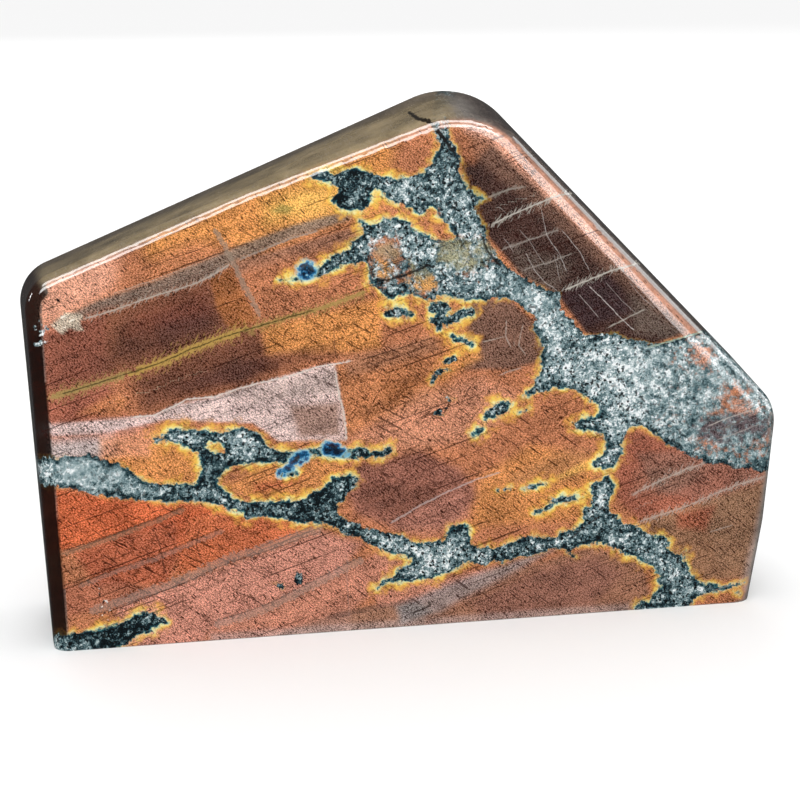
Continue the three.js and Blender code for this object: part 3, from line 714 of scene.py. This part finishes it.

# Where short cracks that fall to the right hatch the ground, and where it is crazed. The sides have
# fewer of both, and pale, except on the left, where they stay dark and are lost in the painted shade
SIDE_HATCHING = 0.35
SIDE_CRAZING = 0.6
hatched = blobs(right, up, [
    (26, 38, 12, 1.0), (26, 24, 10, 1.0), (-58, 22, 12, 0.7), (-30, 10, 16, 0.8), (-12, 5, 12, 0.9),
    (10, 8, 14, 0.8), (34, 8, 12, 0.8), (62, 16, 10, 0.9), (54, 27, 10, 0.9), (-24, 60, 8, 0.5),
    (14, 58, 6, 0.8), (-28, 32, 8, 0.6), (0, 28, 12, 0.8), (-40, 84, 14, 0.35), (-50, 60, 14, 0.3),
], ground=0.45)
crackled = blobs(right, up, [
    (-54, 20, 14, 1.0), (-40, 16, 14, 0.8), (-12, 10, 14, 0.4), (6, 30, 12, 0.4), (-4, 44, 14, 0.8),
    (28, 42, 12, 0.7), (-24, 60, 12, 0.9), (-10, 64, 8, 0.9), (54, 24, 12, 0.6), (-28, 32, 6, 0.9),
    (-30, 76, 10, 0.6), (62, 14, 10, 0.5),
], ground=0.25)
pale_cracks = turned * (1 - shaded_left) * (1 - 0.7 * behind)
hatched = hatched + pale_cracks * (SIDE_HATCHING - hatched)
crackled = crackled + pale_cracks * (SIDE_CRAZING - crackled)
per_vertex(mesh, "finish", "FLOAT_VECTOR", np.stack([flash, sawn, pale_cracks], -1))
per_vertex(mesh, "marks", "FLOAT_VECTOR", np.stack([veil, hatched, crackled], -1))

# Labradorite is a feldspar, here lapped and polished to a glassy gloss. Its clear ground is crossed
# by fine dark cracks and strokes of cleavage, and the vein filling is a mass of small dull grains.
# Every pattern reads the stone's own place in millimetres, so it runs on into the sides.
material = bpy.data.materials.new("polished_labradorite")
material.use_nodes = True
tree = material.node_tree
tree.nodes.clear()


def add(kind, feeds, out=0, stops=(), **settings):
    """Adds a node with these settings, feeds its sockets, and gives back one of its outputs."""
    node = tree.nodes.new("ShaderNode" + kind)
    for name, value in settings.items():
        setattr(node, name, value)
    for socket, value in feeds.items():
        if isinstance(value, bpy.types.NodeSocket):
            tree.links.new(value, node.inputs[socket])
        else:
            node.inputs[socket].default_value = value
    for index, (place, shade) in enumerate(stops):
        stop = node.color_ramp.elements[index] if index < 2 else node.color_ramp.elements.new(place)
        stop.position = place
        stop.color = linear(shade)
    return node.outputs[out]


lie = add("Attribute", {}, "Vector", attribute_name="lie")
wall = add("Attribute", {}, "Fac", attribute_name="wall")
maps = {}
for name in ("rim", "finish", "marks", "temper"):
    three = add("Attribute", {}, "Vector", attribute_name=name)
    maps[name] = add("SeparateXYZ", {"Vector": three}).node.outputs
rim_width, paleness, blueness = maps["rim"]
flashing, sawn_foot, turning = maps["finish"]
veiling, hatching, crackling = maps["marks"]
liveliness, grain_strength, steepness = maps["temper"]

# The clear ground: clouded, banded along the bedding, and grained along the cleavage. The grain is
# drawn 0.2 to 0.4 mm wide, twice as coarse as the real one, so that it shows. Sizes are millimetres.
CLOUD = 6.25
RUNS_IN = 6                      # how deep a band or a crack runs into the stone
BAND = (34, 1.8, RUNS_IN)
BEDDING = math.radians(17)
GRAIN_SIZE = (0.36, 0.19, 0.4)
CLEAVAGE = math.radians(-41)
colour = add("Attribute", {}, "Color", attribute_name="ground")
clouds = add("TexNoise", {"Vector": lie, "Scale": 1 / CLOUD, "Detail": 3, "Roughness": 0.6})
bedding = add("Mapping", {"Vector": lie, "Rotation": (0, 0, BEDDING), "Scale": BAND}, vector_type="TEXTURE")
bands = add("TexNoise", {"Vector": bedding, "Scale": 1, "Detail": 2, "Roughness": 0.6})
cleavage = add("Mapping", {
    "Vector": lie, "Rotation": (0, 0, CLEAVAGE), "Scale": GRAIN_SIZE,
}, vector_type="TEXTURE")
grain = add("TexNoise", {"Vector": cleavage, "Scale": 1, "Detail": 1})
grain = add("MapRange", {"Value": grain, "From Min": 0.32, "From Max": 0.66, "To Min": -0.5, "To Max": 0.5})
grain = add("Math", {0: grain, 1: grain_strength}, operation="MULTIPLY")
shading = add("Math", {0: clouds, 1: 1.6, 2: -0.19}, operation="MULTIPLY_ADD")
shading = add("Math", {0: bands, 1: 0.8, 2: shading}, operation="MULTIPLY_ADD")
shading = add("Math", {0: grain, 1: 1.55, 2: shading}, operation="MULTIPLY_ADD")
shading = add("Math", {0: shading, 1: 0.25}, operation="MAXIMUM")
colour = add("Mix", {"Factor": 1.0, 6: colour, 7: shading}, 2, data_type="RGBA", blend_type="MULTIPLY")
dust = add("Math", {0: grain, 1: 0.06}, operation="MULTIPLY")
dust = add("Math", {0: dust, 1: flashing}, operation="MULTIPLY")
colour = add("Mix", {"Factor": 1.0, 6: colour, 7: dust}, 2, data_type="RGBA", blend_type="ADD")

# Hairline cracks in it, each a long thin needle: long straight ones along the bedding, ones of a few
# millimetres that fall to the right, steep ones that hatch some blocks, and ticks and dots all over.
# The finest are drawn 0.15 mm wide, twice their real width, so that the camera can part them.
BEND = 20 / 9                    # how far apart the bends of a crack are: 9 of them in 20 mm
CRAZING = 50 / 17                # how wide a cell of the crazed network is
CRACK_BROWN = linear("#2e0f08")
CRACK_PALE = linear("#a0968a")   # on the sides, where light shines into the crack
wander = add("TexNoise", {"Vector": lie, "Scale": 1 / BEND, "Detail": 3, "Roughness": 0.6})
bend = wander.node.outputs["Color"]
dark = 0.0
for degrees, along, aside, swing, rare, size, strength, where in (
    (18, 34, 0.42, 0.9, 0.15, 0.4, 0.8, 1.0),
    (-38, 5.5, 0.42, 1.2, 0.05, 0.4, 1.0, hatching),
    (-30, 7, 0.5, 1.4, 0.25, 0.44, 1.0, crackling),
    (61, 4.5, 0.42, 1.2, 0.25, 0.42, 0.9, steepness),
    (-48, 1.4, 0.34, 0.8, 0.28, 0.46, 0.92, 1.0),
):
    place = add("Mapping", {
        "Vector": lie, "Rotation": (0, 0, math.radians(degrees)), "Scale": (along, aside, RUNS_IN),
    }, vector_type="TEXTURE")
    place = add("VectorMath", {0: bend, 1: (swing, swing, swing), 2: place}, operation="MULTIPLY_ADD")
    needle = add("TexVoronoi", {"Vector": place, "Scale": 1}, "Distance", feature="F1")
    odd = add("SeparateColor", {"Color": needle.node.outputs["Color"]})
    thickness = add("MapRange", {"Value": odd, "From Min": rare, "From Max": 1.0, "To Max": size})
    needle = add("Math", {0: thickness, 1: needle}, operation="SUBTRACT")
    needle = add("MapRange", {"Value": needle, "From Max": 0.12, "To Max": strength})
    needle = add("Math", {0: needle, 1: where}, operation="MULTIPLY")
    dark = add("Math", {0: needle, 1: dark}, operation="MAXIMUM")
crossing = add("VectorMath", {0: bend, 1: (2.4, 2.4, 2.4), 2: lie}, operation="MULTIPLY_ADD")
crazed = add("TexVoronoi", {"Vector": crossing, "Scale": 1 / CRAZING}, "Distance", feature="DISTANCE_TO_EDGE")
crazed = add("MapRange", {"Value": crazed, "From Min": 0.02, "From Max": 0.06, "To Min": 0.7, "To Max": 0.0})
broken = add("MapRange", {"Value": wander, "From Min": 0.45, "From Max": 0.52})
crazed = add("Math", {0: crazed, 1: broken}, operation="MULTIPLY")
crazed = add("Math", {0: crazed, 1: crackling}, operation="MULTIPLY")
dark = add("Math", {0: crazed, 1: dark}, operation="MAXIMUM")
faint = add("Math", {0: turning, 1: -0.7, 2: 1.0}, operation="MULTIPLY_ADD")
dark = add("Math", {0: dark, 1: faint}, operation="MULTIPLY")
crack_shade = add("Mix", {"Factor": turning, 6: CRACK_BROWN, 7: CRACK_PALE}, 2, data_type="RGBA")
colour = add("Mix", {"Factor": dark, 6: colour, 7: crack_shade}, 2, data_type="RGBA")

# The filling: dull grains from black through slate to white, with white chips of feldspar and black
# ones of another mineral. It darkens towards its wall, which is ragged. Sizes are millimetres.
RAGGED = 4 / 3                   # how far apart the teeth of its wall are
SOFT = 2.5                       # over what length the rim's width and glow change
CROOKED = 0.625                  # over what length its clumps and chips are pushed out of shape
CLUMP = 20 / 21                  # 21 of them in 20 mm
SMALL_GRAIN = 5 / 21
MASS = 50 / 21                   # how wide its paler and darker parts are
CHIP = 5 / 12
BLACK_CHIP = linear("#0a1012")
ragged = add("TexNoise", {"Vector": lie, "Scale": 1 / RAGGED, "Detail": 4, "Roughness": 0.62})
beyond = add("Math", {0: ragged, 1: 2.8, 2: wall}, operation="MULTIPLY_ADD")
beyond = add("Math", {0: beyond, 1: 1.4}, operation="SUBTRACT")
soft = add("TexNoise", {"Vector": lie, "Scale": 1 / SOFT, "Detail": 2})
crooked = add("TexNoise", {"Vector": lie, "Scale": 1 / CROOKED, "Detail": 2}, "Color")
shifted = add("VectorMath", {0: crooked, 1: (1.6, 1.6, 1.6), 2: lie}, operation="MULTIPLY_ADD")
clumps = add("TexNoise", {"Vector": shifted, "Scale": 1 / CLUMP, "Detail": 2, "Roughness": 0.6})
small = add("TexNoise", {"Vector": lie, "Scale": 1 / SMALL_GRAIN, "Detail": 1})
mass = add("TexNoise", {"Vector": lie, "Scale": 1 / MASS, "Detail": 3, "Roughness": 0.6})
angular = add("VectorMath", {0: crooked, 1: (0.7, 0.7, 0.7), 2: lie}, operation="MULTIPLY_ADD")
chips = add("TexVoronoi", {"Vector": angular, "Scale": 1 / CHIP}, "Color", feature="F1")
white_chips = add("SeparateColor", {"Color": chips})
black_chips = white_chips.node.outputs["Green"]
chips = add("Math", {0: mass, 1: 0.9, 2: white_chips}, operation="MULTIPLY_ADD")
chips = add("MapRange", {"Value": chips, "From Min": 1.12, "From Max": 1.25, "To Max": 0.34})
tone = add("Math", {0: clumps, 1: 1.3, 2: -1.23}, operation="MULTIPLY_ADD")
tone = add("Math", {0: small, 1: 1.0, 2: tone}, operation="MULTIPLY_ADD")
tone = add("Math", {0: tone, 1: chips}, operation="ADD")
tone = add("Math", {0: tone, 1: liveliness, 2: paleness}, operation="MULTIPLY_ADD")
tone = add("Math", {0: mass, 1: 1.2, 2: tone}, operation="MULTIPLY_ADD")
near_wall = add("MapRange", {
    "Value": beyond, "From Min": -1.3, "From Max": -0.3, "To Min": 0.53, "To Max": 0.82,
})
tone = add("Math", {0: tone, 1: near_wall}, operation="SUBTRACT")
filling = add("ValToRGB", {"Fac": tone}, stops=[
    (0.0, "#0a1418"), (0.18, "#182b32"), (0.32, "#374e53"), (0.46, "#5b7479"), (0.60, "#82989b"),
    (0.74, "#a3b4b6"), (0.88, "#cbd6d8"), (1.0, "#eef2f2"),
])
blot = add("MapRange", {"Value": black_chips, "From Min": 0.84, "From Max": 0.87, "To Max": 0.95})
blot = add("Math", {0: blot, 1: liveliness}, operation="MULTIPLY")
filling = add("Mix", {"Factor": blot, 6: filling, 7: BLACK_CHIP}, 2, data_type="RGBA")
veiled = add("Math", {0: ragged, 1: 1.6, 2: veiling}, operation="MULTIPLY_ADD")
veiled = add("MapRange", {"Value": veiled, "From Min": 1.15, "From Max": 1.5, "To Min": 0.08, "To Max": 1.0})
filled = add("MapRange", {"Value": beyond, "From Min": -0.1, "From Max": 0.1, "To Min": 1.0, "To Max": 0.0})
filled = add("Math", {0: filled, 1: veiled}, operation="MULTIPLY")
colour = add("Mix", {"Factor": filled, 6: colour, 7: filling}, 2, data_type="RGBA")

# Old cracks, each swaying a little, with strokes of uneven length along it
STROKE = (1.7, 0.3, RUNS_IN)
STROKES_FALL = math.radians(62)
UNEVEN = 0.625
sway = add("Math", {0: wander, 1: 0.5, 2: -0.25}, operation="MULTIPLY_ADD")
leaning = add("Mapping", {
    "Vector": lie, "Rotation": (0, 0, STROKES_FALL), "Scale": STROKE,
}, vector_type="TEXTURE")
comb = add("TexNoise", {"Vector": leaning, "Scale": 1, "Detail": 1})
comb = add("Math", {0: comb, 1: 3.6, 2: -1.5}, operation="MULTIPLY_ADD")
uneven = add("TexNoise", {"Vector": lie, "Scale": 1 / UNEVEN, "Detail": 2})
uneven = add("Math", {0: uneven, 1: 3.0, 2: -0.5}, operation="MULTIPLY_ADD")
for name in ("seams", "faults", "dark_cracks"):
    line = add("Attribute", {}, "Vector", attribute_name=name)
    offset, half_width, fringe = add("SeparateXYZ", {"Vector": line}).node.outputs
    offset = add("Math", {0: offset, 1: sway}, operation="ADD")
    offset = add("Math", {0: offset}, operation="ABSOLUTE")
    line = add("Math", {0: uneven, 1: half_width}, operation="MULTIPLY")
    line = add("Math", {0: line, 1: offset}, operation="SUBTRACT")
    line = add("MapRange", {"Value": line, "From Min": -0.05, "From Max": 0.07})
    tip = add("Math", {0: comb, 1: fringe}, operation="MULTIPLY")
    tip = add("Math", {0: tip, 1: offset}, operation="SUBTRACT")
    tip = add("MapRange", {"Value": tip, "From Max": 0.25, "To Max": 0.6})
    line = add("Math", {0: line, 1: tip}, operation="MAXIMUM")
    tint = add("Attribute", {}, "Color", attribute_name=name + "_shade")
    line = add("Math", {0: line, 1: tint.node.outputs["Alpha"]}, operation="MULTIPLY")
    colour = add("Mix", {"Factor": line, 6: colour, 7: tint}, 2, data_type="RGBA")

# The rim, where the flash runs through the colours of a thin film: teal just inside the vein, cream
# at its wall, then yellow and gold going out. In a few spots the filling beside it turns blue.
width = add("Math", {0: soft, 1: 2.6, 2: -0.5}, operation="MULTIPLY_ADD")
width = add("Math", {0: width, 1: rim_width}, operation="MULTIPLY")
width = add("Math", {0: width, 1: 0.2}, operation="MAXIMUM")
out_by = add("Math", {0: beyond, 1: 0.0}, operation="MAXIMUM")
out_by = add("Math", {0: out_by, 1: width}, operation="DIVIDE")
in_by = add("Math", {0: beyond, 1: 0.0}, operation="MINIMUM")
reach = add("Math", {0: in_by, 1: 1.1, 2: out_by}, operation="MULTIPLY_ADD")
reach = add("MapRange", {"Value": reach, "From Min": -1.0, "From Max": 1.5})
glow = add("ValToRGB", {"Fac": reach}, stops=[
    (0.0, "#0f2a38"), (0.26, "#16404f"), (0.36, "#4f888c"), (0.41, "#c8dcb4"), (0.46, "#f2e8a0"),
    (0.54, "#f0d060"), (0.66, "#e8ac4c"), (0.82, "#d8944a"), (1.0, "#cc8648"),
])
rising = add("MapRange", {
    "Value": reach, "From Min": 0.08, "From Max": 0.36,
}, interpolation_type="SMOOTHSTEP")
falling = add("MapRange", {
    "Value": reach, "From Min": 0.56, "From Max": 1.0, "To Min": 1.0, "To Max": 0.0,
}, interpolation_type="SMOOTHSTEP")
lit = add("MapRange", {"Value": rim_width, "From Min": 0.2, "From Max": 1.9, "To Max": 0.9})
lit = add("Math", {0: lit, 1: flashing}, operation="MULTIPLY")
fitful = add("MapRange", {"Value": soft, "From Min": 0.38, "From Max": 0.56, "To Min": 0.3})
lit = add("Math", {0: lit, 1: fitful}, operation="MULTIPLY")
glow_share = add("Math", {0: rising, 1: falling}, operation="MULTIPLY")
glow_share = add("Math", {0: glow_share, 1: lit}, operation="MULTIPLY")
unmarked = add("Math", {0: dark, 1: blot}, operation="MAXIMUM")
unmarked = add("MapRange", {"Value": unmarked, "From Max": 0.9, "To Min": 1.0, "To Max": 0.35})
glow_share = add("Math", {0: glow_share, 1: unmarked}, operation="MULTIPLY")
colour = add("Mix", {"Factor": glow_share, 6: colour, 7: glow}, 2, data_type="RGBA")
deep = add("Math", {0: ragged, 1: 3.6, 2: -0.9}, operation="MULTIPLY_ADD")
deep = add("Math", {0: deep, 1: blueness}, operation="MULTIPLY")
blue_glow = add("ValToRGB", {"Fac": deep}, stops=[
    (0.12, "#cfe6d4"), (0.24, "#8cc6d8"), (0.36, "#2c78a8"), (0.48, "#14466e"), (0.70, "#0a1c30"),
])
blue_share = add("MapRange", {"Value": deep, "From Min": 0.08, "From Max": 0.3, "To Max": 0.95})
colour = add("Mix", {"Factor": blue_share, 6: colour, 7: blue_glow}, 2, data_type="RGBA")

# The gloss: glassy on the ground, a little duller on the grains, matt on the sawn foot
GLASSY = 0.07
DULLER = 0.14
SAWN_MATT = 0.5
FELDSPAR_IOR = 1.56
RELIEF = 0.02 * MM               # how far a grain stands proud after polishing
gloss = add("MapRange", {"Value": filled, "To Min": GLASSY, "To Max": DULLER})
gloss = add("Math", {0: sawn_foot, 1: SAWN_MATT, 2: gloss}, operation="MULTIPLY_ADD")
relief = add("Math", {0: filled, 1: small}, operation="MULTIPLY")
relief = add("Math", {0: grain, 1: 0.1, 2: relief}, operation="MULTIPLY_ADD")
bump = add("Bump", {"Height": relief, "Strength": 0.25, "Distance": RELIEF})
surface = add("BsdfPrincipled", {
    "Base Color": colour, "Roughness": gloss, "IOR": FELDSPAR_IOR, "Normal": bump,
})
tree.links.new(surface, tree.nodes.new("ShaderNodeOutputMaterial").inputs["Surface"])
mesh.materials.append(material)

# A pale floor that runs on past the picture, and a pale room. The polish doesn't mirror the floor,
# as it wouldn't a studio table that is darker outside the picture.
FLOOR_RADIUS = 4
PAINT = linear("#f3f3f3")
WHITE = linear("#ffffff")
ROOM_LIGHT = 0.42
ROOM_IN_THE_POLISH = 0.05        # the polish mirrors a darker room, so that the soft boxes stand out
floor_bm = bmesh.new()
bmesh.ops.create_circle(floor_bm, cap_ends=True, segments=64, radius=FLOOR_RADIUS)
floor_mesh = bpy.data.meshes.new("floor")
floor_bm.to_mesh(floor_mesh)
floor_bm.free()
floor = bpy.data.objects.new("floor", floor_mesh)
bpy.context.collection.objects.link(floor)
floor.visible_glossy = False
paint = bpy.data.materials.new("white_floor")
paint.use_nodes = True
tree = paint.node_tree
tree.nodes.clear()
matt = add("BsdfPrincipled", {"Base Color": PAINT, "Roughness": 0.9, "Specular IOR Level": 0.0})
tree.links.new(matt, tree.nodes.new("ShaderNodeOutputMaterial").inputs["Surface"])
floor_mesh.materials.append(paint)

world = bpy.data.worlds.new("studio")
bpy.context.scene.world = world
world.use_nodes = True
tree = world.node_tree
tree.nodes.clear()
path = add("LightPath", {}, "Is Glossy Ray")
level = add("MapRange", {"Value": path, "To Min": ROOM_LIGHT, "To Max": ROOM_IN_THE_POLISH})
backdrop = add("Background", {"Color": WHITE, "Strength": level})
tree.links.new(backdrop, tree.nodes.new("ShaderNodeOutputWorld").inputs["Surface"])

# Soft boxes all round, hung facing the stone. The mirrored ones show only as highlights in the
# polish: two strips and a wide glow along the top left edge, one box down the long slope, one on
# the right side, and three panes down the left side. The others only light the stone.
AIMED_AT = Vector((0, 0, 0.05))


def hang_light(name, azimuth, elevation, distance, width, height, power, mirrored):
    """Hangs a soft box this far from the stone; azimuth 0 is in front of it, and 90 on its right."""
    lamp = bpy.data.objects.new(name, bpy.data.lights.new(name, "AREA"))
    lamp.data.shape = "RECTANGLE"
    lamp.data.size = width
    lamp.data.size_y = height
    lamp.data.energy = power
    away = Vector((
        math.sin(math.radians(azimuth)) * math.cos(math.radians(elevation)),
        -math.cos(math.radians(azimuth)) * math.cos(math.radians(elevation)),
        math.sin(math.radians(elevation)),
    ))
    lamp.location = AIMED_AT + distance * away
    lamp.rotation_euler = away.to_track_quat("Z", "Y").to_euler()
    lamp.visible_camera = False
    lamp.visible_glossy = mirrored
    lamp.visible_diffuse = not mirrored
    bpy.context.collection.objects.link(lamp)


hang_light("front_fill", -12, 30, 1.2, 1.0, 0.8, 5, mirrored=False)
hang_light("back_fill", 180, 30, 1.2, 1.0, 0.8, 4, mirrored=False)
hang_light("high_strip", -10, 68, 1.0, 1.8, 0.28, 16, mirrored=True)
hang_light("low_strip", -8, 39, 1.0, 1.8, 0.28, 16, mirrored=True)
hang_light("wide_glow", -10, 53, 1.1, 1.8, 0.8, 9, mirrored=True)
hang_light("slope_box", 35, 16, 1.0, 0.62, 0.8, 9, mirrored=True)
hang_light("right_box", 100, 16, 1.0, 0.5, 0.6, 4, mirrored=True)
for elevation in (9.5, 14.5, 19):
    hang_light("left_pane", -112, elevation, 1.0, 0.12, 0.05, 0.4, mirrored=True)
ceiling = bpy.data.objects.new("ceiling", bpy.data.lights.new("ceiling", "SUN"))
ceiling.data.energy = 1.9
ceiling.data.angle = math.radians(90)
ceiling.visible_glossy = False
bpy.context.collection.objects.link(ceiling)
